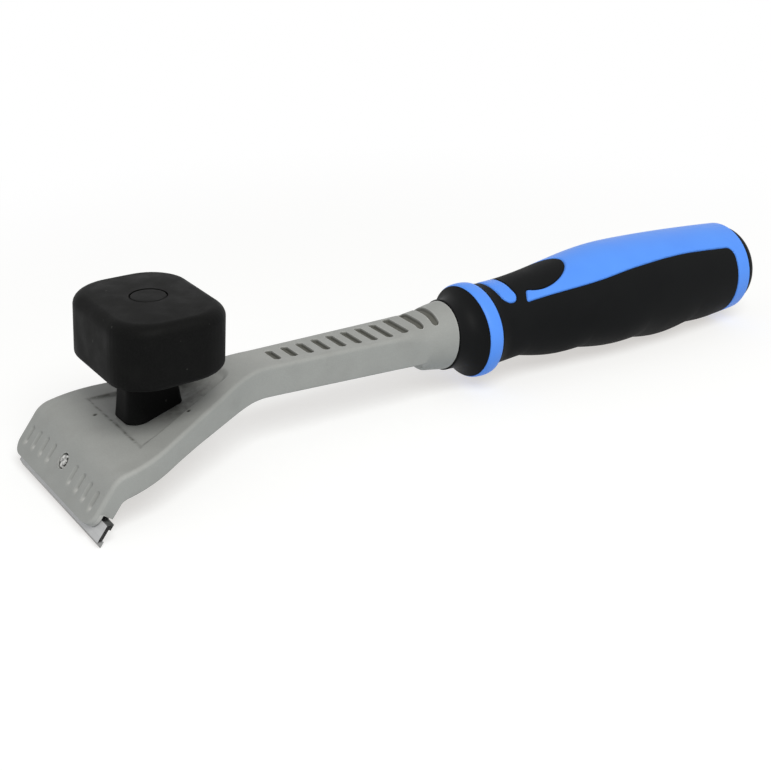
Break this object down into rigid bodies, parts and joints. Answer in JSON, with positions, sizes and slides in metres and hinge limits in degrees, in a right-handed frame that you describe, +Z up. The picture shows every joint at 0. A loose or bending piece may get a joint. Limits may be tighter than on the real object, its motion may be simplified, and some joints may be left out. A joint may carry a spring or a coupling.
{
  "type": "paint scraper",
  "caption": "Two-handed paint scraper: a grey cast head clamps a straight reversible blade, with a square black pressure knob and a blue and black moulded handle.",
  "frame": {"origin": "on the bench, under the middle of the tool's outer box", "axes": "+X from the blade to the butt of the handle, +Y across to the tool's left as seen from the handle, +Z up; the tool lies on the blade's edge and the belly of the handle"},
  "size_m": [0.3014, 0.0684, 0.062],
  "materials": {
    "casting": "satin grey coating on a die-cast head",
    "blade": "ground edges on a dull steel strip",
    "clamp": "dark pressed steel",
    "fastener": "zinc plated",
    "knob": "fine matte black moulding",
    "grip": "soft black overmould",
    "core": "bright blue moulding with a soft gloss",
    "cap": "black moulding"
  },
  "bodies": {
    "tool_body": {"head_casting": "casting", "knob_body": "knob", "knob_plug": "knob", "knob_bolt": "fastener", "knob_bolt_washer": "fastener", "knob_nut": "fastener", "handle_core": "core", "grip_sleeve": "grip", "front_collar": "grip", "end_cap": "cap"},
    "blade": {"scraper_blade": "blade"},
    "clamp": {"clamp_plate": "clamp", "clamp_washer": "fastener"},
    "screw": {"clamp_screw": "fastener"}
  },
  "joints": [
    {"name": "blade_slide", "type": "slide", "parent": "tool_body", "child": "blade", "axis": [0, 1, 0], "range_m": [-0.06, 0.06]},
    {"name": "clamp_release", "type": "slide", "parent": "tool_body", "child": "clamp", "axis": [0.7902, 0, -0.6128], "range_m": [0, 0.002]},
    {"name": "clamp_screw_turn", "type": "hinge", "parent": "clamp", "child": "screw", "pos_m": [-0.14489, 0.00195, 0.01278], "axis": [0.7902, 0, -0.6128], "range_deg": [0, 900]}
  ],
  "couplings": [
    {"joint": "clamp_screw_turn", "follows": "clamp_release", "rad_per_m": 7854}
  ]
}
